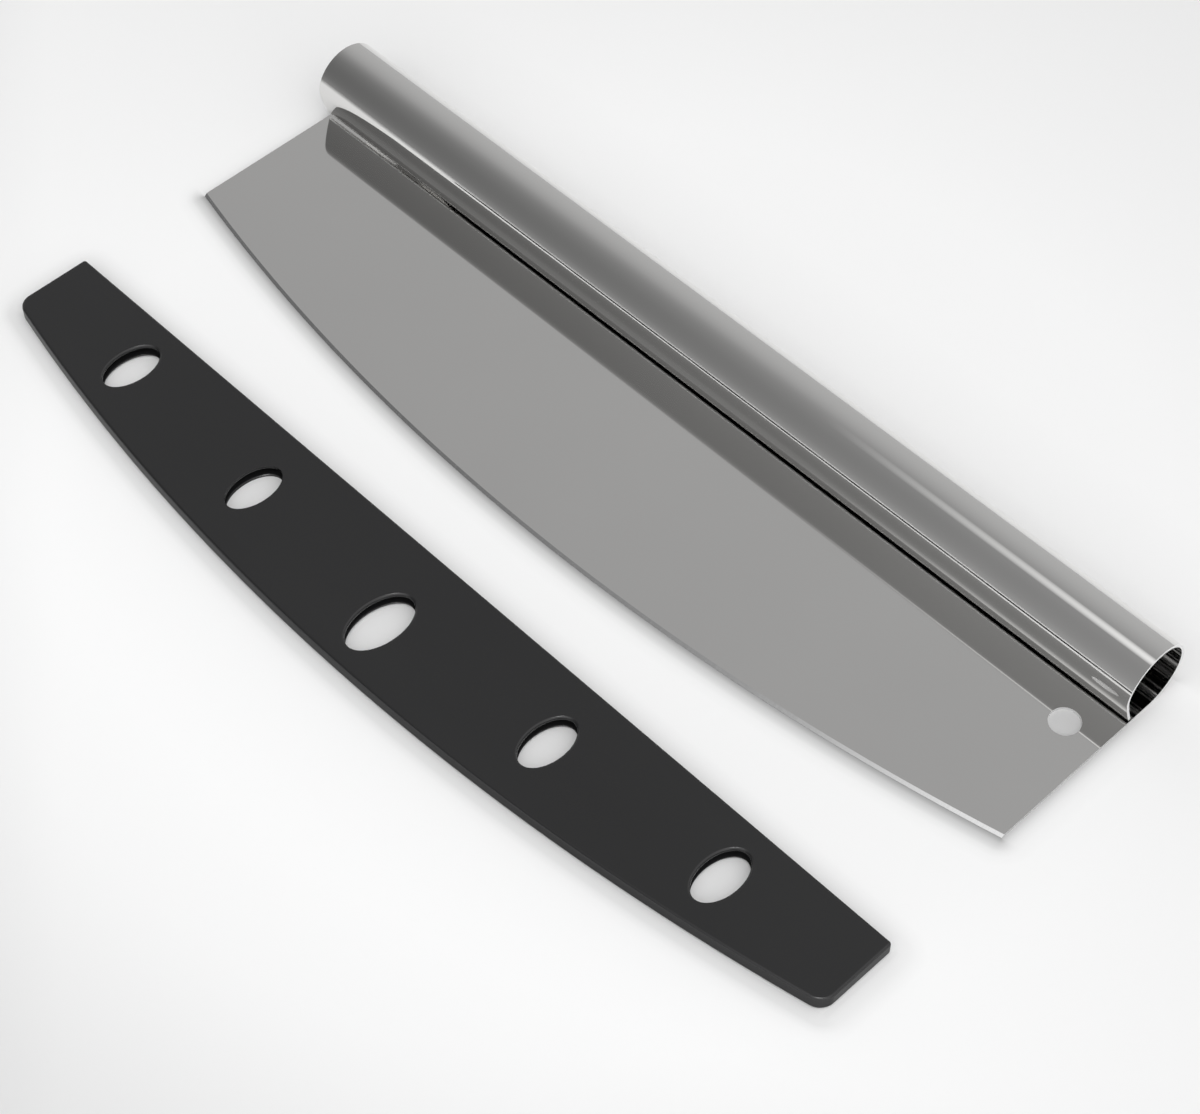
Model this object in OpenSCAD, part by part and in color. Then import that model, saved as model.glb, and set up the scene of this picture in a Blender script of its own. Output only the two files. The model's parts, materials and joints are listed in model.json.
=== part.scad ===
// Rocking pizza knife with its blade cover.
// The knife is one steel sheet: the top is rolled round into an open handle and the
// bottom is cut to a shallow arc and ground. The cover is one moulded sleeve that the
// cutting edge slides into. It lies beside the knife, taken off.
// Millimetres. The origin is on the table, half way along the handle and straight
// below the handle's axis. +X runs to the end with the hanging hole, the cutting edge
// faces -Y and +Z is up.

/* [Blade] */
// Length of the sheet, which is that of the blade and of the handle
blade_length = 355; // [250:1:500]
// Thickness of the sheet
sheet_t = 1; // [0.7:0.1:1.5]
// Width from the handle's axis to the blade's two corners
blade_width = 65.1; // [55:0.1:100]
// How far the cutting edge bows out past its corners
edge_bow = 20.3; // [10:0.1:30]
// Width of the ground band along the cutting edge
grind_width = 0.9; // [0.3:0.1:3]
// Thickness left at the cutting edge
edge_land = 0.1; // [0.05:0.05:0.3]

/* [Handle roll] */
// Outside radius of the roll
roll_r = 12.9; // [10:0.1:16]
// Where the roll leaves its main circle, in degrees from the back over the top
roll_angle = 161; // [140:1:170]
// Outside radius of the tighter bend at the front
front_bend_r = 9.4; // [6:0.1:10]
// How much thinner the sheet is in that bend, where it stretches
bend_thinning = 0.02; // [0.01:0.01:0.06]
// Lean at the top of the run down the front, in degrees from upright
front_lean = 10.8; // [6:0.1:16]
// Outside radius of the slight bow of that run
front_bow_r = 54; // [45:1:200]
// Gap between the free edge and the face of the blade
seam_gap = 1.25; // [0.3:0.05:2]

/* [Hanging hole] */
// Diameter of the hole
hang_hole_d = 10; // [5:0.5:14]
// Distance from the end of the sheet to the hole's centre
hang_hole_inset = 13.1; // [10:0.1:40]
// Distance from the handle's axis to the hole's centre
hang_hole_drop = 22.2; // [21:0.1:30]

/* [Cover] */
// How far the cover reaches up the blade from the middle of the cutting edge
cover_reach = 44.35; // [38:0.05:48]
// Wall of the cover at the lips of its slot
lip_wall = 0.9; // [0.8:0.05:2]
// Wall past the cutting edge, at the middle
floor_wall = 2.5; // [1.5:0.1:5]
// Wall past the cutting edge, at the two ends
corner_wall = 3.3; // [2:0.1:5]
// Wall past each end of the blade
end_wall = 1.25; // [1:0.05:4]
// Radius of the two corners on the curved side
outer_corner_r = 5.5; // [3:0.1:6]
// Radius of the two corners on the slot's side
lip_corner_r = 1; // [0.8:0.1:3]
// Rounding of the cover's edges
edge_round = 0.8; // [0.2:0.1:0.8]

/* [Slot] */
// Clearance on each side of the sheet at the slot's lips
lip_clear = 1.1; // [0.8:0.05:1.5]
// Clearance on each side of the sheet at the slot's floor
floor_side_clear = 0.5; // [0.3:0.05:0.8]
// Clearance past the cutting edge
edge_clear = 0.5; // [0.2:0.1:2]
// Clearance past each end of the blade
end_clear = 0.5; // [0.3:0.1:2]

/* [Cover holes] */
// Distance between neighbouring holes
hole_pitch = 65.8; // [55:0.1:68]
// Width of the four outer holes, along the cover
hole_w = 12.4; // [6:0.1:20]
// Height of the four outer holes, across the cover
hole_h = 20.9; // [10:0.1:25]
// Width of the middle hole
middle_hole_w = 14.6; // [6:0.1:24]
// Height of the middle hole
middle_hole_h = 25; // [10:0.1:28]
// How far the middle hole sits off centre, towards the curved side
middle_hole_drop = 4.8; // [0:0.1:6]
// Rounding of the holes' rims
hole_round = 0.8; // [0.2:0.1:0.8]
// Number of the hole whose rim is left sharp, counted from -X
sharp_hole = 2; // [1:1:5]

/* [Layout] */
// Distance between the cutting edge and the cover lying beside it
cover_apart = 29.25; // [10:0.05:100]
// How far the cover lies off the blade's middle, along +X
cover_shift = 1.2; // [-20:0.1:20]

/* [Hidden] */
$fn = 96;

steel = [0.66, 0.66, 0.65];
black_plastic = [0.045, 0.045, 0.047];

// how far a cutting shape runs past what it cuts
over = 1;

// radius of the circle through both corners and the middle of a bowed edge
function bow_radius(half_length, bow) = (half_length * half_length + bow * bow) / (2 * bow);
// height of a circular arc above its lowest point, at a distance from the middle
function arc_rise(r, x) = r - sqrt(r * r - x * x);
function polar(r, angle) = [r * cos(angle), r * sin(angle)];

edge_r = bow_radius(blade_length / 2, edge_bow);
edge_low = -blade_width - edge_bow;

// what is left to turn after the main circle, until the sheet runs down the front
front_turn = 180 + front_lean - roll_angle;
// heights of the centre of the tighter bend, of that of the bowed run and of the free edge
bend_z = roll_r + (roll_r - front_bend_r) * sin(roll_angle);
bow_z = bend_z + (front_bow_r - front_bend_r) * sin(front_lean);
free_edge_z = 1.5 * sheet_t + seam_gap;
// how far the run turns until its free edge is down at that height
run_turn = asin((bow_z - free_edge_z) / (front_bow_r - sheet_t / 2)) - front_lean;

cover_t = sheet_t + 2 * (lip_clear + lip_wall);
cover_length = blade_length + 2 * (end_clear + end_wall);
cover_half = cover_length / 2;
slot_r = edge_r + edge_clear;
slot_depth = cover_reach + edge_clear;
cover_depth = slot_depth + floor_wall;
cover_end_depth = slot_depth - arc_rise(slot_r, cover_half) + corner_wall;
cover_r = bow_radius(cover_half, cover_depth - cover_end_depth);

// Section of the sheet bent into a full ring, thinner by `thinning`
module ring(r, thinning) {
  difference() {
    circle(r = r - thinning / 2);
    circle(r = r - sheet_t + thinning / 2);
  }
}

// The half of the plane above the X axis
module half_plane(reach = 2 * roll_r) {
  translate([-reach, 0])
    square([2 * reach, reach]);
}

// The first `turn` degrees of a ring, from the X axis on, for less than half a turn
module bend(r, turn, thinning) {
  intersection() {
    ring(r, thinning);
    half_plane(2 * r);
    rotate(turn)
      mirror([0, 1])
        half_plane(2 * r);
  }
}

// Section of the whole sheet in Y and Z: flat blade, roll, tighter bend, bowed run, free edge
module sheet_section() {
  translate([edge_low, 0])
    square([-edge_low, sheet_t]);
  translate([0, roll_r]) {
    difference() {
      ring(roll_r, 0);
      intersection() {
        rotate(90)
          half_plane();
        rotate(roll_angle)
          half_plane();
      }
    }
    rotate(roll_angle)
      translate([roll_r - front_bend_r, 0]) {
        bend(front_bend_r, front_turn, bend_thinning);
        rotate(front_turn)
          translate([front_bend_r - front_bow_r, 0]) {
            bend(front_bow_r, run_turn, 0);
            rotate(run_turn)
              translate([front_bow_r - sheet_t / 2, 0])
                intersection() {
                  circle(d = sheet_t);
                  half_plane();
                }
          }
      }
  }
}

// Everything above the cutting edge's arc and its ground face
module edge_stock() {
  top = 2 * roll_r + over;
  translate([0, edge_low + edge_r, 0])
    rotate_extrude()
      polygon([[0, -over], [edge_r, -over], [edge_r, edge_land],
               [edge_r - grind_width, sheet_t], [edge_r - grind_width, top], [0, top]]);
}

module blade_and_handle() {
  color(steel)
    difference() {
      intersection() {
        translate([-blade_length / 2, 0, 0])
          rotate([90, 0, 90])
            linear_extrude(blade_length)
              sheet_section();
        edge_stock();
      }
      translate([blade_length / 2 - hang_hole_inset, -hang_hole_drop, -over])
        cylinder(d = hang_hole_d, h = sheet_t + 2 * over);
    }
}

// Half of a plate's section: flat inside, both outer edges rounded, ending at r
module rounded_section(r) {
  square([r - edge_round, cover_t]);
  translate([0, edge_round])
    square([r, cover_t - 2 * edge_round]);
  for (z = [edge_round, cover_t - edge_round])
    translate([r - edge_round, z])
      circle(r = edge_round);
}

module rounded_disc(r) {
  rotate_extrude()
    intersection() {
      rounded_section(r);
      square([r, cover_t]);
    }
}

// Plate with two straight rounded edges, `half` to each side of Y = 0
module rounded_bar(half, length) {
  translate([-length / 2, 0, 0])
    rotate([90, 0, 90])
      linear_extrude(length) {
        rounded_section(half);
        mirror([1, 0])
          rounded_section(half);
      }
}

// What a rounded corner takes off: a block from the corner's centre to two points
// past the outline, less the rounded disc
module corner_cut(centre, r, to_side, to_edge) {
  reach = 3 * r;
  translate(centre)
    difference() {
      translate([0, 0, -over])
        linear_extrude(cover_t + 2 * over)
          polygon([[0, 0], polar(reach, to_side), polar(reach, (to_side + to_edge) / 2),
                   polar(reach, to_edge)]);
      rounded_disc(r);
    }
}

// Outside of the cover, with Y = 0 along its slot side
module cover_blank() {
  lip_x = cover_half - lip_corner_r;
  outer_x = cover_half - outer_corner_r;
  arc_centre_y = cover_r - cover_depth;
  outer_y = arc_centre_y - sqrt((cover_r - outer_corner_r) ^ 2 - outer_x ^ 2);
  outer_lean = asin(outer_x / (cover_r - outer_corner_r));
  difference() {
    intersection() {
      translate([0, arc_centre_y, 0])
        rounded_disc(cover_r);
      translate([0, -cover_depth, 0])
        rounded_bar(cover_depth, cover_length + 2 * over);
      rotate(90)
        rounded_bar(cover_half, 2 * cover_depth + 2 * over);
    }
    for (side = [0, 1])
      mirror([side, 0, 0]) {
        corner_cut([lip_x, -lip_corner_r, 0], lip_corner_r, 0, 90);
        corner_cut([outer_x, outer_y, 0], outer_corner_r, 0, outer_lean - 90);
      }
  }
}

// Space for the blade: tapers from the lips to a floor that follows the cutting edge
module slot_space() {
  lip_half = sheet_t / 2 + lip_clear;
  floor_half = sheet_t / 2 + floor_side_clear;
  taper = (lip_half - floor_half) / slot_depth;
  half_length = blade_length / 2 + end_clear;
  intersection() {
    translate([-half_length, 0, cover_t / 2])
      rotate([90, 0, 90])
        linear_extrude(2 * half_length)
          polygon([[-slot_depth - over, taper * over - floor_half],
                   [over, -lip_half - taper * over],
                   [over, lip_half + taper * over],
                   [-slot_depth - over, floor_half - taper * over]]);
    translate([0, slot_r - slot_depth, -over])
      cylinder(r = slot_r, h = cover_t + 2 * over);
  }
}

// Oval hole right through the cover, its rims rounded unless rim is 0
module oval_hole(w, h, rim) {
  scale([1, h / w, 1])
    rotate_extrude()
      difference() {
        translate([0, -over])
          square([w / 2 + rim, cover_t + 2 * over]);
        if (rim > 0) {
          translate([w / 2, rim])
            square([rim + over, cover_t - 2 * rim]);
          for (z = [rim, cover_t - rim])
            translate([w / 2 + rim, z])
              circle(r = rim);
        }
      }
}

module blade_cover() {
  color(black_plastic)
    translate([cover_shift, edge_low - cover_apart, 0])
      difference() {
        cover_blank();
        slot_space();
        for (i = [1 : 5]) {
          x = (i - 3) * hole_pitch;
          middle = (arc_rise(cover_r, x) - cover_depth) / 2;
          rim = i == sharp_hole ? 0 : hole_round;
          if (i == 3)
            translate([x, middle - middle_hole_drop, 0])
              oval_hole(middle_hole_w, middle_hole_h, rim);
          else
            translate([x, middle, 0])
              oval_hole(hole_w, hole_h, rim);
        }
      }
}

blade_and_handle();
blade_cover();
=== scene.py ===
"""Looks, studio and camera for the rocking pizza knife and its blade cover.

Everything is in metres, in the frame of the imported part: the origin is on the table below
the middle of the handle, +X runs to the hanging hole, the cutting edge faces -Y, +Z is up.
"""
import json
import math

import bpy
from mathutils import Matrix, Vector
from mathutils.geometry import tessellate_polygon


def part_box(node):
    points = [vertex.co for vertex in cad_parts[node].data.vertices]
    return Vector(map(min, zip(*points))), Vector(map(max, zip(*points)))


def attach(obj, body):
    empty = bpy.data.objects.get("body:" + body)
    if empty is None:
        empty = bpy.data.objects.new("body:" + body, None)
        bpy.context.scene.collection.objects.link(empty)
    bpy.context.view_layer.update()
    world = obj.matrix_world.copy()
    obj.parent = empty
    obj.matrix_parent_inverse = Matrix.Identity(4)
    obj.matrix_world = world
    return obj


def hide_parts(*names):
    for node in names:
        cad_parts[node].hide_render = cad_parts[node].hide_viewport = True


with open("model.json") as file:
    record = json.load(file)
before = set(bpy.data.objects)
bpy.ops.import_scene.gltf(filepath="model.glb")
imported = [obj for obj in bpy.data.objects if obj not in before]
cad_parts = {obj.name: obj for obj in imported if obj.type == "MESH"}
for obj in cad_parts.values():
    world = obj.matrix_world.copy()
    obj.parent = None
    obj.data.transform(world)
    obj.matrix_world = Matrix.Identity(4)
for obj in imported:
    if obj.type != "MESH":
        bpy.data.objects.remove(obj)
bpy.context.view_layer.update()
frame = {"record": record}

MM = 0.001

# Camera, solved from the photograph's outlines: its place, the direction it looks in, and
# its lens and sensor in Blender's millimetres
CAMERA_AT = Vector((400.9, -439.4, 670.9)) * MM
CAMERA_AZIMUTH = math.radians(45.907)
CAMERA_ELEVATION = math.radians(52.145)
CAMERA_LENS = 83.77
CAMERA_SENSOR = 36.0
CAMERA_CLIP = (0.01, 50)

# Knife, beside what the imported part's boxes give: its sheet, the bow of the cutting edge,
# and the ground band, which ends in an upright land
SHEET_T = 1.0 * MM
EDGE_BOW = 20.3 * MM
GRIND_WIDTH = 0.9 * MM
EDGE_LAND = 0.1 * MM
# The roll turns as far as ROLL_ANGLE and bends tighter down to its front, which leans back
# and bows slightly on the way to the free edge, just above the blade
ROLL_ANGLE = math.radians(161)
FRONT_BEND_R = 9.4 * MM
FRONT_LEAN = math.radians(10.8)
FRONT_BOW_R = 54 * MM
SEAM_GAP = 1.25 * MM

# Cover: its walls and clearances round the blade, where the floor is the bottom of its slot,
# the corners of its outline, its rounded edges, and the angle from which an edge of its mesh
# is shaded sharp
FLOOR_WALL = 2.5 * MM
CORNER_WALL = 3.3 * MM
EDGE_CLEAR = 0.5 * MM
END_CLEAR = 0.5 * MM
LIP_WALL = 0.9 * MM
FLOOR_SIDE_CLEAR = 0.5 * MM
OUTER_CORNER_R = 5.5 * MM
LIP_CORNER_R = 1.0 * MM
EDGE_ROUND = 0.8 * MM
SHARP_ANGLE = math.radians(50)
# Its holes, numbered from the left: one is larger and lower, and one has no rounded rims
HOLE_COUNT = 5
HOLE_PITCH = 65.8 * MM
HOLE_SIZE = (12.4 * MM, 20.9 * MM)
MIDDLE_HOLE = 3
MIDDLE_HOLE_SIZE = (14.6 * MM, 25 * MM)
MIDDLE_HOLE_DROP = 4.8 * MM
HOLE_ROUND = 0.8 * MM
SHARP_HOLE = 2

# Table top, a hair below the pieces so that no two faces meet
TABLE_SIZE = 12
TABLE_DROP = 0.02 * MM
# Its grey levels, a painted falloff of light, by distance from a point, over TABLE_REACH
TABLE_CENTRE = (0, 0.15, 0)
TABLE_REACH = 3.0
TABLE_LEVELS = [
    (0.0, 0.895), (0.055, 0.9), (0.09, 0.905), (0.12, 0.95), (0.135, 0.91),
    (0.155, 0.82), (0.3, 0.72), (0.6, 0.66), (1.0, 0.6),
]
# Painted pool of light: a little darker outside the spot where the pieces lie, as a factor
SPOT_CENTRE = (0.02, -0.07, 0)
SPOT_REACH = 0.4
SPOT_LEVELS = [(0.0, 1.0), (0.45, 1.0), (0.62, 0.95), (0.85, 0.89), (1.0, 0.89)]
# Painted falloff of light towards the front left, past the picture: by distance over FALL_REACH
FALL_TO = (-0.596, -0.803, 0)
FALL_REACH = 1.0
FALL_LEVELS = [(0.0, 1.0), (0.21, 1.0), (0.3, 0.84), (0.45, 0.7), (0.7, 0.63), (1.0, 0.6)]
# Painted contact shadow in the table's colour: how much darker it is close to the knife, by
# distance over SHADE_REACH: past the cutting edge, and past the right end
SHADE_REACH = 10 * MM
EDGE_SHADE = [
    (0.0, 0.39), (0.1, 0.51), (0.2, 0.64), (0.3, 0.715),
    (0.4, 0.8), (0.5, 0.895), (0.7, 0.97), (1.0, 1.0),
]
END_SHADE = [
    (0.0, 0.5), (0.1, 0.67), (0.2, 0.79), (0.3, 0.87), (0.4, 0.92), (0.6, 0.97), (1.0, 1.0),
]
# The left end has a share of the latter, and so has the roll, from ROLL_SHADE_AT on in Y
LEFT_SHARE = 0.4
ROLL_SHARE = 0.3
ROLL_SHADE_AT = (-12 * MM, 5 * MM)
# Painted shade under the hanging hole: how dark it is there, and the radii, beneath the
# sheet, between which that fades out
HOLE_SHADE = 0.63
HOLE_SHADE_TO = (7 * MM, 8 * MM)
# Painted shade behind the roll: how much darker it is, by distance over BACK_REACH
BACK_REACH = 50 * MM
BACK_SHADE = [(0.0, 0.9), (0.2, 0.9), (0.3, 0.93), (0.4, 0.96), (0.6, 0.975), (1.0, 1.0)]
# The same painted contact shadow close to the cover, over SHADE_REACH: past its curved side,
# past its right end, and elsewhere, which also gives the painted shade in its holes
COVER_EDGE_SHADE = [(0.0, 0.88), (0.4, 0.88), (0.5, 0.93), (0.7, 0.985), (1.0, 1.0)]
COVER_END_SHADE = [
    (0.0, 0.87), (0.15, 0.87), (0.2, 0.9), (0.3, 0.92), (0.5, 0.94), (0.7, 0.97), (1.0, 1.0),
]
COVER_FAR_SHADE = [(0.0, 0.9), (0.4, 0.92), (0.5, 0.93), (0.7, 0.965), (1.0, 1.0)]
# Least distance to divide by where the shades meet
LEAST_AWAY = 0.01 * MM

# Surroundings: light by angle from the back horizon (0) over the top (0.5) to the front
# horizon (1), for four places from left to right, and the level that 1 on a ramp stands for
SKY_FAR_LEFT = [(0.0, 0.9), (0.3, 0.9), (0.5, 1.3), (0.7, 0.3), (0.85, 0.15), (1.0, 0.2)]
SKY_LEFT = [
    (0.0, 0.546), (0.2, 0.513), (0.34, 0.438), (0.45, 0.273),
    (0.55, 0.207), (0.7, 0.157), (0.9, 0.165), (1.0, 0.29),
]
SKY_MIDDLE = [
    (0.0, 0.546), (0.2, 0.513), (0.34, 0.438), (0.45, 0.347),
    (0.55, 0.347), (0.7, 0.298), (0.9, 0.331), (1.0, 0.414),
]
SKY_RIGHT = [
    (0.0, 0.65), (0.3, 0.9), (0.5, 1.2), (0.62, 1.75), (0.7, 1.8), (0.83, 0.95), (1.0, 0.85),
]
SKY_PEAK = 2.0
# Where each place turns into the next, by the X of the direction of length 1 towards it
SKY_FAR_TO_LEFT = (-0.85, -0.7)
SKY_LEFT_TO_MIDDLE = (-0.6, -0.27)
SKY_MIDDLE_TO_RIGHT = (-0.27, 0.05)
# A soft strip lamp overhead: its middle and half width by the same angle, the X over which
# it sets in, and its level
STRIP_AT = 0.49
STRIP_HALF = 0.065
STRIP_START = (-0.41, -0.22)
STRIP_LEVEL = 1.0
# A small bright lamp nearly straight above: its direction, half angles where it is full
# and where it ends, and its level
LAMP_TO = (0.1, -0.06, 0.993)
LAMP_SPREAD = (math.radians(4.5), math.radians(6.5))
LAMP_LEVEL = 16.0

# Finishes: two shades blended by a cloudy noise, and the roughness that this noise and a
# finer one add up to, each between the given bounds. The finer one also stands up by depth.
# A noise is its scale, its detail and its stretch along each axis, and it takes the roughness
# from bound to bound over NOISE_SPAN of its own range
NOISE_SPAN = (0.3, 0.7)
FINISHES = {
    # mirror-polished sheet: faint rolling lines along its length and light handling haze
    "polished_steel": dict(
        shades=((0.73, 0.725, 0.715), (0.77, 0.765, 0.755)),
        clouds=(14, 4, (1, 1, 1)), cloud_roughness=(0.03, 0.05),
        lines=(900, 3, (0.02, 1, 1)), line_roughness=(0.0, 0.02), depth=0.4e-6,
    ),
    # the ground band: fine grinding lines across the edge, so it is duller than the sheet
    "ground_steel": dict(
        shades=((0.72, 0.72, 0.72), (0.78, 0.78, 0.78)),
        clouds=(30, 3, (1, 1, 1)), cloud_roughness=(0.0, 0.0),
        lines=(2500, 2, (1, 0.05, 0.05)), line_roughness=(0.12, 0.25), depth=2e-6,
    ),
    # the sheet's cut edges: bright and matt, with fine marks of the shear across the sheet
    "cut_steel": dict(
        shades=((0.80, 0.80, 0.80), (0.88, 0.88, 0.88)),
        clouds=(1800, 2, (1, 1, 0.1)), cloud_roughness=(0.0, 0.0),
        lines=(1800, 2, (1, 1, 0.1)), line_roughness=(0.4, 0.55), depth=3e-6,
    ),
    # the inside of the roll: the same sheet, with dull drawing streaks along it
    "inside_steel": dict(
        shades=((0.64, 0.635, 0.625), (0.70, 0.695, 0.685)),
        clouds=(30, 3, (1, 1, 1)), cloud_roughness=(0.0, 0.0),
        lines=(420, 2, (0.01, 1, 1)), line_roughness=(0.06, 0.35), depth=1e-6,
        line_span=(0.55, 0.68),
    ),
    # moulded polypropylene: near black, with faint flow marks and a fine satin grain
    "black_plastic": dict(
        shades=((0.0135, 0.0135, 0.014), (0.0165, 0.0165, 0.017)),
        clouds=(22, 3, (0.35, 1, 1)), cloud_roughness=(0.18, 0.22),
        lines=(3500, 2, (1, 1, 1)), line_roughness=(0.0, 0.04), depth=6e-6,
        metallic=0.0,
    ),
}
# The plastic's grain takes the shine off at a glancing angle: as the surface turns away from
# the view, by this much of the way from facing it (0) to edge on (1), its specular level falls
GLANCING_SPAN = (0.3, 0.6)
GLANCING_SHINE = (0.5, 0.08)

# Fineness of the meshes
STATIONS = 180
ARC_STEP = math.radians(2.5)
HOLE_STEPS = 96
TURNS = [2 * math.pi * i / HOLE_STEPS for i in range(HOLE_STEPS)]
EDGE_STEPS = 6
# Round the hanging hole: how far past its rim the square of faces reaches, and how far at
# most the gap for it in the blade's strips
HOLE_MARGIN = 0.6 * MM
PATCH_MARGIN = 3 * MM
# Points of a mesh are one point where they round to the same step, this many to a metre, and
# triangles of less than half this area in square metres are left out
POINT_STEPS = 1e7
LEAST_AREA = 1e-14
# How far the cutter of the cover's slot stands out of its mouth
CUTTER_PAST = 1 * MM

# The knife's materials, and their places on its mesh
KNIFE_FINISHES = ("polished_steel", "ground_steel", "cut_steel", "inside_steel")
POLISHED, GROUND, CUT, INSIDE = range(len(KNIFE_FINISHES))


def knife_form():
    """The knife's half length and the radius of its cutting edge."""
    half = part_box("blade_and_handle")[1].x
    return half, bow_radius(half, EDGE_BOW)


def hang_hole():
    """The middle of the hanging hole, in plan, and its radius."""
    mount = next(m for m in frame["record"]["mounts"] if m["name"] == "hang_hole")
    return tuple(mount["pos_m"][:2]), mount["dims"]["r_mm"] * MM


def material(name):
    """A new node material, its tree and its Principled shader."""
    made = bpy.data.materials.new(name)
    made.use_nodes = True
    tree = made.node_tree
    return made, tree, tree.nodes["Principled BSDF"]


def node(tree, kind, **settings):
    """A new node, with its inputs or its own settings given by name."""
    made = tree.nodes.new(kind)
    for key, value in settings.items():
        if key in made.inputs:
            made.inputs[key].default_value = value
        else:
            setattr(made, key, value)
    return made


def feed(tree, socket, value):
    """Gives an input a number, or the output of another node."""
    if isinstance(value, (int, float)):
        socket.default_value = value
    else:
        tree.links.new(value, socket)


def math_node(tree, operation, a, b=None):
    made = node(tree, "ShaderNodeMath", operation=operation)
    feed(tree, made.inputs[0], a)
    if b is not None:
        feed(tree, made.inputs[1], b)
    return made.outputs[0]


def vector_node(tree, operation, vector, constant):
    """A number made of a vector from the tree and a constant one."""
    made = node(tree, "ShaderNodeVectorMath", operation=operation)
    tree.links.new(vector, made.inputs[0])
    made.inputs[1].default_value = constant
    return made.outputs["Value"]


def remap(tree, value, low, high, to_low, to_high, smooth=False):
    """The value taken from one span to another and held within it."""
    made = node(tree, "ShaderNodeMapRange")
    if smooth:
        made.interpolation_type = "SMOOTHSTEP"
    tree.links.new(value, made.inputs["Value"])
    names = ("From Min", "From Max", "To Min", "To Max")
    for name, number in zip(names, (low, high, to_low, to_high)):
        made.inputs[name].default_value = number
    return made.outputs["Result"]


def noise(tree, scale, detail, stretch):
    """Noise in the object's own coordinates, multiplied by stretch along each axis."""
    place = node(tree, "ShaderNodeTexCoord")
    mapping = node(tree, "ShaderNodeMapping", Scale=stretch)
    tree.links.new(place.outputs["Object"], mapping.inputs["Vector"])
    made = node(tree, "ShaderNodeTexNoise", Scale=scale, Detail=detail, Roughness=0.5)
    tree.links.new(mapping.outputs["Vector"], made.inputs["Vector"])
    return made.outputs["Fac"]


def grey(tree, level):
    made = node(tree, "ShaderNodeRGB")
    made.outputs[0].default_value = (level, level, level, 1)
    return made.outputs[0]


def ramp(tree, fac, stops, interpolation="LINEAR", peak=1.0):
    """Greys by place along a ramp, as (place, level), with peak as the level that gives 1."""
    made = node(tree, "ShaderNodeValToRGB")
    made.color_ramp.interpolation = interpolation
    elements = made.color_ramp.elements
    for element, (at, level) in zip([elements[0], elements[1]], (stops[0], stops[-1])):
        element.position = at
        element.color = (level / peak, level / peak, level / peak, 1)
    for at, level in stops[1:-1]:
        elements.new(at).color = (level / peak, level / peak, level / peak, 1)
    tree.links.new(fac, made.inputs["Fac"])
    return made.outputs["Color"]


def blend(tree, fac, a, b, kind="MIX"):
    """Colour a mixed with colour b by the share fac, or multiplied by it, or added to it."""
    made = node(tree, "ShaderNodeMix", data_type="RGBA", blend_type=kind)
    feed(tree, made.inputs[0], fac)
    colours = [socket for socket in made.inputs if socket.type == "RGBA"]
    for socket, value in zip(colours, (a, b)):
        tree.links.new(value, socket)
    return next(socket for socket in made.outputs if socket.type == "RGBA")


def finished(
    name, shades, clouds, cloud_roughness, lines, line_roughness, depth,
    line_span=NOISE_SPAN, metallic=1.0,
):
    """A material with the given finish, as in FINISHES."""
    made, tree, shader = material(name)
    cloud, line = noise(tree, *clouds), noise(tree, *lines)
    colour = node(tree, "ShaderNodeValToRGB")
    for element, shade in zip(colour.color_ramp.elements, shades):
        element.color = (*shade, 1)
    tree.links.new(cloud, colour.inputs["Fac"])
    from_cloud = remap(tree, cloud, *NOISE_SPAN, *cloud_roughness)
    from_line = remap(tree, line, *line_span, *line_roughness)
    bump = node(tree, "ShaderNodeBump", Distance=depth, Strength=1.0)
    tree.links.new(line, bump.inputs["Height"])
    tree.links.new(colour.outputs["Color"], shader.inputs["Base Color"])
    tree.links.new(math_node(tree, "ADD", from_cloud, from_line), shader.inputs["Roughness"])
    tree.links.new(bump.outputs["Normal"], shader.inputs["Normal"])
    shader.inputs["Metallic"].default_value = metallic
    return made


def black_plastic():
    """The cover's plastic, with less shine at a glancing angle."""
    made = finished("black_plastic", **FINISHES["black_plastic"])
    tree = made.node_tree
    glancing = node(tree, "ShaderNodeLayerWeight").outputs["Facing"]
    shine = remap(tree, glancing, *GLANCING_SPAN, *GLANCING_SHINE)
    tree.links.new(shine, tree.nodes["Principled BSDF"].inputs["Specular IOR Level"])
    return made


def arc(centre, radius, start, end, inward=False):
    """Points with outward normals along an arc, as ((a, b), (na, nb))."""
    count = max(2, math.ceil(abs(end - start) / ARC_STEP))
    side = -1 if inward else 1
    out = []
    for i in range(count + 1):
        t = start + (end - start) * i / count
        c, s = math.cos(t), math.sin(t)
        out.append(((centre[0] + radius * c, centre[1] + radius * s), (side * c, side * s)))
    return out


def polar(centre, radius, angle):
    """The point at that radius and angle round the centre, in a plane."""
    return (centre[0] + radius * math.cos(angle), centre[1] + radius * math.sin(angle))


def bow_radius(half, bow):
    """The radius of an arc by its half chord and the height of its bow."""
    return (half * half + bow * bow) / (2 * bow)


def arc_rise(radius, x):
    """How far an arc has risen from its lowest point, x away from it."""
    return radius - math.sqrt(radius * radius - x * x)


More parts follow.
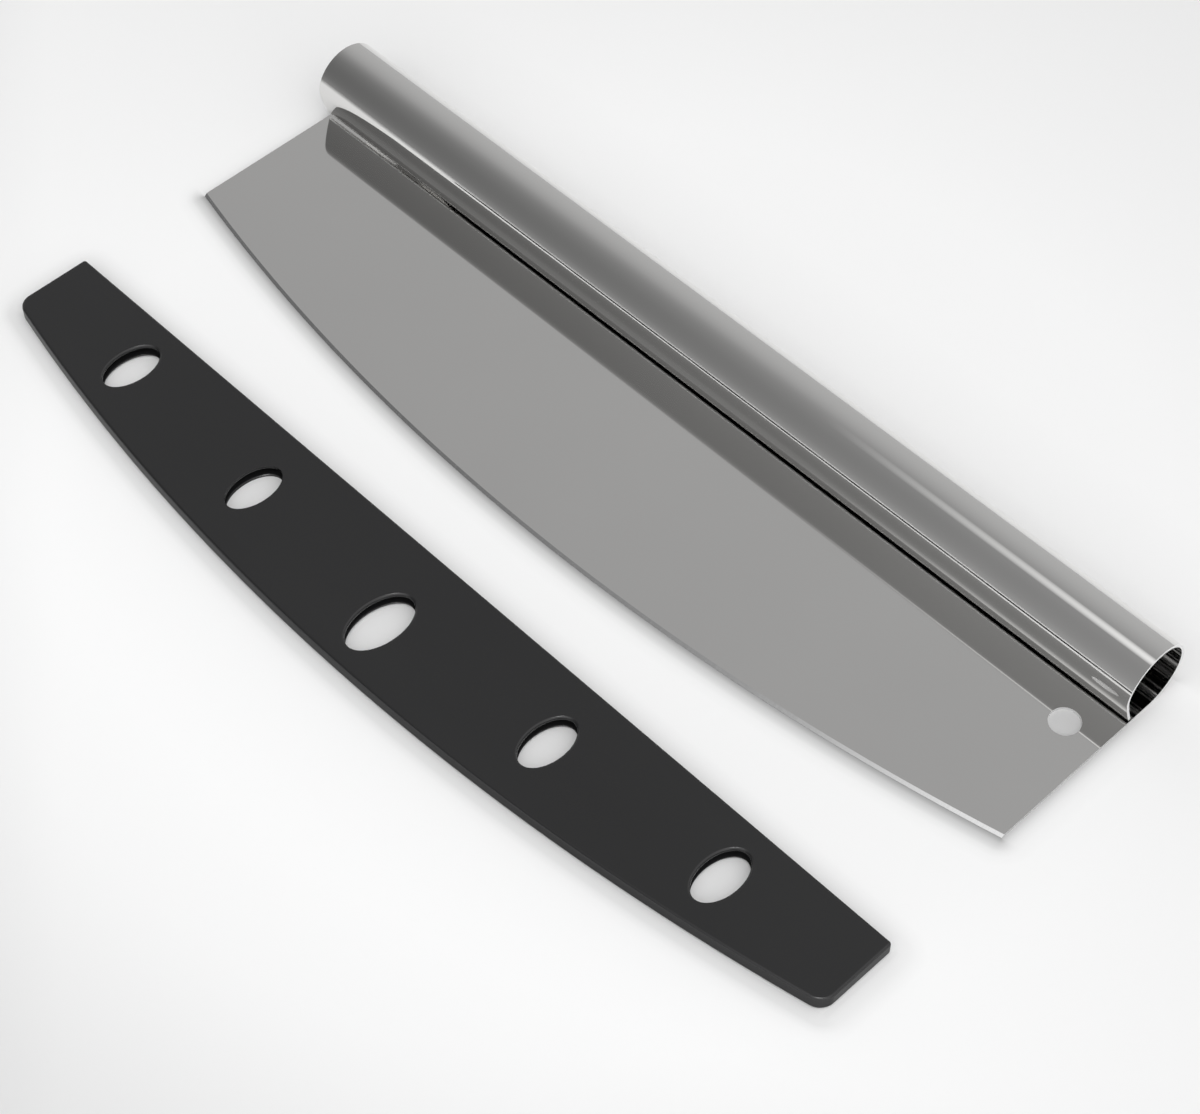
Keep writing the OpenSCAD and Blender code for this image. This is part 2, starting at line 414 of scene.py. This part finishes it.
class Shell:
    """A mesh built from quads and flat fills, with its own normal at each corner."""

    def __init__(self):
        self.points, self.index, self.faces, self.normals, self.slots = [], {}, [], [], []

    def point(self, p):
        key = tuple(round(c * POINT_STEPS) for c in p)
        if key not in self.index:
            self.index[key] = len(self.points)
            self.points.append(tuple(p))
        return self.index[key]

    def face(self, corners, normals, slot=0):
        """One face, unless two of its corners are the same point."""
        ids = [self.point(p) for p in corners]
        if len(set(ids)) == len(ids):
            self.faces.append(ids)
            self.normals.extend(Vector(n).normalized() for n in normals)
            self.slots.append(slot)

    def facing(self, corners, normal):
        """A flat face, turned so that it faces along normal."""
        a, b, c = (Vector(p) for p in corners[:3])
        if (b - a).cross(c - a).dot(Vector(normal)) < 0:
            corners = corners[::-1]
        self.face(corners, [normal] * len(corners))

    def zip(self, first, second, axis, normal):
        """Triangles between two rows of points that both run up the given axis."""
        i, j, first_end, second_end = 0, 0, len(first) - 1, len(second) - 1
        while i < first_end or j < second_end:
            a, b = first[i], second[j]
            if i < first_end and (j == second_end or first[i + 1][axis] <= second[j + 1][axis]):
                i += 1
                self.facing([a, first[i], b], normal)
            else:
                j += 1
                self.facing([a, second[j], b], normal)

    def fill(self, loops, normal, slot=0):
        """Fills an outline with holes, all in one plane, facing along normal."""
        flat = [Vector(p) for loop in loops for p in loop]
        scaled = [[Vector(p) / MM for p in loop] for loop in loops]
        for triangle in tessellate_polygon(scaled):
            a, b, c = (flat[i] for i in triangle)
            turned = (b - a).cross(c - a)
            if turned.length < LEAST_AREA:
                continue
            corners = (a, b, c) if turned.dot(Vector(normal)) > 0 else (a, c, b)
            self.face(corners, [normal] * 3, slot)

    def build(self, name, materials):
        """The object made of all the faces so far."""
        mesh = bpy.data.meshes.new(name)
        mesh.from_pydata(self.points, [], self.faces)
        mesh.polygons.foreach_set("use_smooth", [True] * len(mesh.polygons))
        mesh.polygons.foreach_set("material_index", self.slots)
        mesh.normals_split_custom_set(self.normals)
        for finish in materials:
            mesh.materials.append(finish)
        made = bpy.data.objects.new(name, mesh)
        bpy.context.scene.collection.objects.link(made)
        return made


def roll_section(roll_r):
    """The sheet's section in Y and Z, from below the roll round its outside to the free edge
    and back along its inside: points, outward normals, and the material up to each point."""
    # centres of the roll, its tighter bend, the bow of its front and its free edge, which is
    # rounded and stands SEAM_GAP above the blade's upper face
    roll_at = (0, roll_r)
    bend_at = polar(roll_at, roll_r - FRONT_BEND_R, ROLL_ANGLE)
    front = math.pi + FRONT_LEAN
    bow_at = polar(bend_at, FRONT_BEND_R - FRONT_BOW_R, front)
    drop = bow_at[1] - 1.5 * SHEET_T - SEAM_GAP
    tip = math.pi + math.asin(drop / (FRONT_BOW_R - SHEET_T / 2))
    tip_at = polar(bow_at, FRONT_BOW_R - SHEET_T / 2, tip)
    runs = [
        (arc(roll_at, roll_r, -math.pi / 2, ROLL_ANGLE), POLISHED),
        (arc(bend_at, FRONT_BEND_R, ROLL_ANGLE, front), POLISHED),
        (arc(bow_at, FRONT_BOW_R, front, tip), POLISHED),
        (arc(tip_at, SHEET_T / 2, tip, tip + math.pi), CUT),
        (arc(bow_at, FRONT_BOW_R - SHEET_T, tip, front, inward=True), INSIDE),
        (arc(bend_at, FRONT_BEND_R - SHEET_T, front, ROLL_ANGLE, inward=True), INSIDE),
        (arc(roll_at, roll_r - SHEET_T, ROLL_ANGLE, -math.pi / 2, inward=True), INSIDE),
    ]
    return [(*p, slot) for part, slot in runs for p in part]


def add_roll(shell, section, stations):
    for x0, x1 in zip(stations, stations[1:]):
        for (a, na, _), (b, nb, slot) in zip(section, section[1:]):
            shell.face(
                [(x0, *a), (x0, *b), (x1, *b), (x1, *a)],
                [(0, *na), (0, *nb), (0, *nb), (0, *na)],
                slot,
            )


def add_ground_band(shell, stations, edge_at, edge_r):
    """The band ground along the cutting edge, and the land below it."""
    up = GRIND_WIDTH / (GRIND_WIDTH + SHEET_T - EDGE_LAND)

    def outwards(x, rise):
        lean = math.asin(x / edge_r)
        return (math.sin(lean) * (1 - rise), -math.cos(lean) * (1 - rise), rise)

    for x0, x1 in zip(stations, stations[1:]):
        rows = []
        for x in (x0, x1):
            outer, inner = edge_at(x), edge_at(x, GRIND_WIDTH)
            rows.append(((x, outer, 0), (x, outer, EDGE_LAND), (x, inner, SHEET_T)))
        (a0, a1, a2), (b0, b1, b2) = rows
        across = (x0, x0, x1, x1)
        shell.face([a2, a1, b1, b2], [outwards(x, up) for x in across], GROUND)
        shell.face([a1, a0, b0, b1], [outwards(x, 0) for x in across], GROUND)


def add_blade_face(shell, stations, edge, z, normal):
    """A flat face of the blade, from its edge to the roll: strips across it, and round the
    hanging hole a ring of faces out to a square, which is then joined to all that is round it."""
    hole_at, hole_r = hang_hole()
    rim = [(*polar(hole_at, hole_r, t), z) for t in TURNS]
    beside = [i for i, x in enumerate(stations) if abs(x - hole_at[0]) < hole_r + PATCH_MARGIN]
    straight = [(x, 0, z) for x in stations]
    for i in range(STATIONS):
        if i not in beside or i + 1 not in beside:
            shell.facing([edge[i], edge[i + 1], straight[i + 1], straight[i]], normal)

    square = []
    for t in TURNS:
        reach = (hole_r + HOLE_MARGIN) / max(abs(math.cos(t)), abs(math.sin(t)))
        square.append((*polar(hole_at, reach, t), z))
    for i in range(HOLE_STEPS):
        j = (i + 1) % HOLE_STEPS
        shell.facing([rim[i], rim[j], square[j], square[i]], normal)
    eighth = HOLE_STEPS // 8
    right = square[-eighth:] + square[:eighth + 1]
    upper, left, lower = (square[k * eighth:(k + 2) * eighth + 1] for k in (1, 3, 5))
    edge, straight = ([side[i] for i in beside] for side in (edge, straight))
    shell.zip(upper[::-1], straight, 0, normal)
    shell.zip(lower, edge, 0, normal)
    shell.zip(left[::-1], [edge[0], straight[0]], 1, normal)
    shell.zip(right, [edge[-1], straight[-1]], 1, normal)


def add_hole_wall(shell):
    hole_at, hole_r = hang_hole()
    for s, t in zip(TURNS, TURNS[1:] + TURNS[:1]):
        a, b = polar(hole_at, hole_r, s), polar(hole_at, hole_r, t)
        na, nb = (-math.cos(s), -math.sin(s), 0), (-math.cos(t), -math.sin(t), 0)
        corners = [(*b, 0), (*a, 0), (*a, SHEET_T), (*b, SHEET_T)]
        shell.face(corners, [nb, na, na, nb], CUT)


def build_knife():
    """The knife, one sheet of steel: blade, hanging hole and rolled handle."""
    low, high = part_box("blade_and_handle")
    half, edge_r = knife_form()
    section = roll_section(high.z / 2)
    stations = [-half + 2 * half * i / STATIONS for i in range(STATIONS + 1)]

    def edge_at(x, inset=0):
        """Y of the cutting edge at x, or of the line that runs inset behind it."""
        return low.y + edge_r - math.sqrt((edge_r - inset) ** 2 - x * x)

    shell = Shell()
    add_roll(shell, section, stations)
    add_ground_band(shell, stations, edge_at, edge_r)
    for z, inset, normal in ((SHEET_T, GRIND_WIDTH, (0, 0, 1)), (0, 0, (0, 0, -1))):
        edge = [(x, edge_at(x, inset), z) for x in stations]
        add_blade_face(shell, stations, edge, z, normal)
    add_hole_wall(shell)
    for side in (-1, 1):
        x = side * half
        outer, inner = edge_at(x), edge_at(x, GRIND_WIDTH)
        rim = [(x, *p) for p, _, _ in section]
        rim += [(x, inner, SHEET_T), (x, outer, EDGE_LAND), (x, outer, 0)]
        shell.fill([rim], (side, 0, 0), CUT)

    made = shell.build("knife", [finished(name, **FINISHES[name]) for name in KNIFE_FINISHES])
    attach(made, "knife")
    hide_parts("blade_and_handle")


def outline_levels(inset, thickness):
    """Up a wall with two rounded edges: heights, insets, and its normal's parts out and up."""
    if inset == 0:
        return [(0, 0, (1, 0)), (thickness, 0, (1, 0))]
    levels = []
    for i in range(EDGE_STEPS + 1):
        t = math.pi / 2 * (i / EDGE_STEPS - 1)
        flat, rise = math.cos(t), math.sin(t)
        levels.append((inset * (1 + rise), inset * (1 - flat), (flat, rise)))
    upper = [(thickness - z, back, (flat, -rise)) for z, back, (flat, rise) in reversed(levels)]
    return levels + upper


def add_wall(shell, loop, inset, thickness):
    """A wall along a closed loop of (point, outward normal), material to the loop's left."""
    levels = outline_levels(inset, thickness)
    for (p, n), (q, m) in zip(loop, loop[1:] + loop[:1]):
        for lower, upper in zip(levels, levels[1:]):
            corners, normals = [], []
            for at, out, (z, back, (flat, rise)) in (
                (p, n, lower), (q, m, lower), (q, m, upper), (p, n, upper),
            ):
                corners.append((at[0] - out[0] * back, at[1] - out[1] * back, z))
                normals.append((out[0] * flat, out[1] * flat, rise))
            shell.face(corners, normals)


def inset_loop(loop, inset, z):
    """The loop's points, moved into the material, at height z."""
    return [(p[0] - n[0] * inset, p[1] - n[1] * inset, z) for p, n in loop]


def cover_outline(half, depth, radius):
    """The cover's outline, counterclockwise, with the slot's side along Y = 0."""
    arc_at = (0, radius - depth)
    outer_x = half - OUTER_CORNER_R
    lean = math.asin(outer_x / (radius - OUTER_CORNER_R))
    outer_y = arc_at[1] - math.sqrt((radius - OUTER_CORNER_R) ** 2 - outer_x**2)
    lip_x = half - LIP_CORNER_R
    down = -math.pi / 2
    bow = []
    for i in range(1, STATIONS):
        t = down - lean + 2 * lean * i / STATIONS
        bow.append((polar(arc_at, radius, t), (math.cos(t), math.sin(t))))
    return (
        bow
        + arc((outer_x, outer_y), OUTER_CORNER_R, down + lean, 0)
        + arc((lip_x, -LIP_CORNER_R), LIP_CORNER_R, 0, math.pi / 2)
        + arc((-lip_x, -LIP_CORNER_R), LIP_CORNER_R, math.pi / 2, math.pi)
        + arc((-outer_x, outer_y), OUTER_CORNER_R, math.pi, 1.5 * math.pi - lean)
    )


def oval(at, size):
    """An oval hole's rim, clockwise, with normals into the hole."""
    a, b = size[0] / 2, size[1] / 2
    loop = []
    for turn in TURNS:
        c, s = math.cos(-turn), math.sin(-turn)
        away = Vector((c / a, s / b)).normalized()
        loop.append(((at[0] + a * c, at[1] + b * s), (-away.x, -away.y)))
    return loop


def slot_cutter(length, depth, radius, thickness):
    """The space for the blade, a little past the lips, tapering towards its floor."""
    lip_half = thickness / 2 - LIP_WALL
    floor_half = SHEET_T / 2 + FLOOR_SIDE_CLEAR
    plan = [(length / 2, CUTTER_PAST), (-length / 2, CUTTER_PAST)]
    for i in range(STATIONS + 1):
        x = -length / 2 + length * i / STATIONS
        plan.append((x, arc_rise(radius, x) - depth))
    shell = Shell()

    def level(y, side):
        return thickness / 2 + side * (lip_half + (lip_half - floor_half) * y / depth)

    lower = [(x, y, level(y, -1)) for x, y in plan]
    upper = [(x, y, level(y, 1)) for x, y in plan]
    shell.fill([lower], (0, 0, -1))
    shell.fill([upper], (0, 0, 1))
    count = len(plan)
    for i in range(count):
        j = (i + 1) % count
        shell.face([lower[i], lower[j], upper[j], upper[i]], [(0, 0, 1)] * 4)
    return shell.build("slot_cutter", [])


def cover_form():
    """The cover's half length and depth, the radius of its slot's floor and of its outside."""
    low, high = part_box("blade_cover")
    half, depth = (high.x - low.x) / 2, high.y - low.y
    slot_r = knife_form()[1] + EDGE_CLEAR
    end_depth = depth - FLOOR_WALL - arc_rise(slot_r, half) + CORNER_WALL
    return half, depth, slot_r, bow_radius(half, depth - end_depth)


def build_cover():
    """The blade cover: a bowed bar with rounded edges, oval holes and a slot for the blade."""
    low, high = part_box("blade_cover")
    half, depth, slot_r, radius = cover_form()
    thickness = high.z - low.z
    middle_x = (low.x + high.x) / 2

    outline = cover_outline(half, depth, radius)
    holes = []
    for number in range(1, HOLE_COUNT + 1):
        x = (number - MIDDLE_HOLE) * HOLE_PITCH
        y = (arc_rise(radius, x) - depth) / 2
        size = HOLE_SIZE
        if number == MIDDLE_HOLE:
            y -= MIDDLE_HOLE_DROP
            size = MIDDLE_HOLE_SIZE
        holes.append((oval((x, y), size), 0 if number == SHARP_HOLE else HOLE_ROUND))

    shell = Shell()
    add_wall(shell, outline, EDGE_ROUND, thickness)
    for loop, rim in holes:
        add_wall(shell, loop, rim, thickness)
    for z, normal in ((0, (0, 0, -1)), (thickness, (0, 0, 1))):
        loops = [inset_loop(outline, EDGE_ROUND, z)]
        loops += [inset_loop(loop, rim, z) for loop, rim in holes]
        shell.fill(loops, normal)
    made = shell.build("cover", [black_plastic()])

    # the slot is cut out, and the flat faces it leaves keep flat normals
    slot_length = 2 * (knife_form()[0] + END_CLEAR)
    cutter = slot_cutter(slot_length, depth - FLOOR_WALL, slot_r, thickness)
    cut = made.modifiers.new("slot", "BOOLEAN")
    cut.object = cutter
    cut.solver = "EXACT"
    weighted = made.modifiers.new("normals", "WEIGHTED_NORMAL")
    weighted.keep_sharp = True
    made.data.set_sharp_from_angle(angle=SHARP_ANGLE)
    graph = bpy.context.evaluated_depsgraph_get()
    whole = bpy.data.meshes.new_from_object(made.evaluated_get(graph))
    made.modifiers.clear()
    made.data = whole
    bpy.data.objects.remove(cutter)

    made.data.transform(Matrix.Translation((middle_x, high.y, low.z)))
    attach(made, "cover")
    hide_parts("blade_cover")
    return made


def past_outline(tree, place, box, edge_r, inside_y):
    """X and Y of a place on the table, and how far it is past a bowed piece: past its ends,
    its bowed edge (only where Y is below inside_y), its straight side, and in all."""
    low, high = box
    middle_x = (low.x + high.x) / 2

    def past(value, limit):
        return math_node(tree, "MAXIMUM", math_node(tree, "SUBTRACT", value, limit), 0.0)

    split = node(tree, "ShaderNodeSeparateXYZ")
    tree.links.new(place, split.inputs[0])
    x, y, _ = split.outputs
    from_middle = math_node(tree, "ABSOLUTE", math_node(tree, "SUBTRACT", x, middle_x))
    past_end = past(from_middle, high.x - middle_x)
    edge_centre = (middle_x, low.y + edge_r, 0)
    past_edge = past(vector_node(tree, "DISTANCE", place, edge_centre), edge_r)
    in_front = math_node(tree, "LESS_THAN", y, inside_y)
    past_edge = math_node(tree, "MULTIPLY", past_edge, in_front)
    past_back = past(y, high.y)
    past_side = math_node(tree, "ADD", past_edge, past_back)
    squares = [math_node(tree, "MULTIPLY", part, part) for part in (past_end, past_side)]
    away = math_node(tree, "SQRT", math_node(tree, "ADD", *squares))
    return x, y, past_end, past_edge, past_back, away


def share_of(tree, part, away):
    """How much of the whole distance one part of it makes up."""
    return math_node(tree, "DIVIDE", part, math_node(tree, "MAXIMUM", away, LEAST_AWAY))


def painted_knife_shade(tree, place):
    """How dark the table's colour is painted close to the knife, as a factor: painted contact
    shadow.
    """
    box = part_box("blade_and_handle")
    _, edge_r = knife_form()
    x, y, _, past_edge, past_back, away = past_outline(tree, place, box, edge_r, 0.0)
    reach = math_node(tree, "DIVIDE", away, SHADE_REACH)

    # past the ends, less so at the left one and beside the roll
    at_left = math_node(tree, "LESS_THAN", x, 0.0)
    ends = remap(tree, at_left, 0, 1, 1.0, LEFT_SHARE)
    roll = remap(tree, y, *ROLL_SHADE_AT, 1.0, ROLL_SHARE)
    ends = math_node(tree, "MULTIPLY", ends, roll)
    near = blend(tree, ends, grey(tree, 1.0), ramp(tree, reach, END_SHADE))
    # past the cutting edge, and behind the roll
    near = blend(tree, share_of(tree, past_edge, away), near, ramp(tree, reach, EDGE_SHADE))
    behind = ramp(tree, math_node(tree, "DIVIDE", away, BACK_REACH), BACK_SHADE)
    behind = blend(tree, share_of(tree, past_back, away), grey(tree, 1.0), behind)
    near = blend(tree, 1.0, near, behind, "MULTIPLY")
    # painted shade seen through the hanging hole
    from_hole = vector_node(tree, "DISTANCE", place, (*hang_hole()[0], 0))
    in_hole = remap(tree, from_hole, *HOLE_SHADE_TO, 1, 0)
    return blend(tree, in_hole, near, grey(tree, HOLE_SHADE))


def painted_cover_shade(tree, cover):
    """The same painted contact shadow close to the cover and in its holes, wherever the cover
    lies.
    """
    place = node(tree, "ShaderNodeTexCoord", object=cover).outputs["Object"]
    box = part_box("blade_cover")
    middle_y = (box[0].y + box[1].y) / 2
    *_, edge_r = cover_form()
    x, _, past_end, past_edge, _, away = past_outline(tree, place, box, edge_r, middle_y)
    reach = math_node(tree, "DIVIDE", away, SHADE_REACH)
    at_right = math_node(tree, "GREATER_THAN", x, 0.0)
    past_right = math_node(tree, "MULTIPLY", past_end, at_right)
    near = ramp(tree, reach, COVER_FAR_SHADE)
    for part, shade in ((past_right, COVER_END_SHADE), (past_edge, COVER_EDGE_SHADE)):
        near = blend(tree, share_of(tree, part, away), near, ramp(tree, reach, shade))
    return near


def build_floor(cover):
    """A pale matt table top that keeps the soft shadows of what lies on it, plus painted ones."""
    bpy.ops.mesh.primitive_plane_add(size=TABLE_SIZE, location=(0, 0, -TABLE_DROP))
    floor = bpy.context.object
    floor.name = "table_top"
    made, tree, shader = material("pale_table")
    shader.inputs["Roughness"].default_value = 1.0
    shader.inputs["Specular IOR Level"].default_value = 0.0
    place = node(tree, "ShaderNodeTexCoord").outputs["Object"]
    # the table's colour, darkened by the painted contact shadows of the knife and the cover
    level = blend(tree, 1.0, painted_knife_shade(tree, place), painted_cover_shade(tree, cover), "MULTIPLY")
    # and by a painted falloff of light: from its middle, outside the pieces' spot, towards the
    # front left
    for operation, towards, reach, levels in (
        ("DISTANCE", TABLE_CENTRE, TABLE_REACH, TABLE_LEVELS),
        ("DISTANCE", SPOT_CENTRE, SPOT_REACH, SPOT_LEVELS),
        ("DOT_PRODUCT", FALL_TO, FALL_REACH, FALL_LEVELS),
    ):
        share = math_node(tree, "DIVIDE", vector_node(tree, operation, place, towards), reach)
        level = blend(tree, 1.0, level, ramp(tree, share, levels), "MULTIPLY")
    tree.links.new(level, shader.inputs["Base Color"])
    floor.data.materials.append(made)


def build_world():
    """Studio surroundings: a pale room, darker to the left, with the soft lamps to the right."""
    world = bpy.data.worlds.new("studio")
    bpy.context.scene.world = world
    world.use_nodes = True
    tree = world.node_tree
    background = tree.nodes["Background"]
    place = node(tree, "ShaderNodeTexCoord").outputs["Generated"]
    split = node(tree, "ShaderNodeSeparateXYZ")
    tree.links.new(place, split.inputs[0])
    x, y, z = split.outputs
    around = math_node(tree, "DIVIDE", math_node(tree, "ARCTAN2", z, y), math.pi)

    # the four skies, each turning into the next from left to right
    skies = (SKY_FAR_LEFT, SKY_LEFT, SKY_MIDDLE, SKY_RIGHT)
    far, dark, pale, lamps = (ramp(tree, around, stops, "B_SPLINE", SKY_PEAK) for stops in skies)
    lit = remap(tree, x, *SKY_MIDDLE_TO_RIGHT, 0, 1, smooth=True)
    room = blend(tree, remap(tree, x, *SKY_FAR_TO_LEFT, 0, 1, smooth=True), far, dark)
    room = blend(tree, remap(tree, x, *SKY_LEFT_TO_MIDDLE, 0, 1), room, pale)
    room = blend(tree, lit, room, lamps)

    # the strip lamp, which the lit right side takes the place of
    off_middle = math_node(tree, "SUBTRACT", around, STRIP_AT)
    off_middle = math_node(tree, "DIVIDE", off_middle, STRIP_HALF)
    square = math_node(tree, "MULTIPLY", off_middle, off_middle)
    across = math_node(tree, "SUBTRACT", 1.0, square)
    across.node.use_clamp = True
    along = remap(tree, x, *STRIP_START, 0, STRIP_LEVEL / SKY_PEAK)
    along = math_node(tree, "MULTIPLY", along, math_node(tree, "SUBTRACT", 1.0, lit))
    strip = math_node(tree, "MULTIPLY", across, along)
    room = blend(tree, 1.0, room, strip, "ADD")

    # the small lamp
    full, end = (math.cos(angle) for angle in LAMP_SPREAD)
    towards = vector_node(tree, "DOT_PRODUCT", place, LAMP_TO)
    lamp = remap(tree, towards, end, full, 0, LAMP_LEVEL / SKY_PEAK, smooth=True)
    room = blend(tree, 1.0, room, lamp, "ADD")
    tree.links.new(room, background.inputs["Color"])
    background.inputs["Strength"].default_value = SKY_PEAK


def build_camera():
    """The photograph's view."""
    data = bpy.data.cameras.new("camera")
    data.sensor_width = CAMERA_SENSOR
    data.lens = CAMERA_LENS
    data.clip_start, data.clip_end = CAMERA_CLIP
    made = bpy.data.objects.new("camera", data)
    level = math.cos(CAMERA_ELEVATION)
    forward = Vector((
        -math.sin(CAMERA_AZIMUTH) * level,
        math.cos(CAMERA_AZIMUTH) * level,
        -math.sin(CAMERA_ELEVATION),
    ))
    made.location = CAMERA_AT
    made.rotation_mode = "QUATERNION"
    made.rotation_quaternion = forward.to_track_quat("-Z", "Y")
    bpy.context.scene.collection.objects.link(made)
    bpy.context.scene.camera = made


build_knife()
build_floor(build_cover())
build_world()
build_camera()
bpy.context.scene.view_settings.view_transform = "Standard"
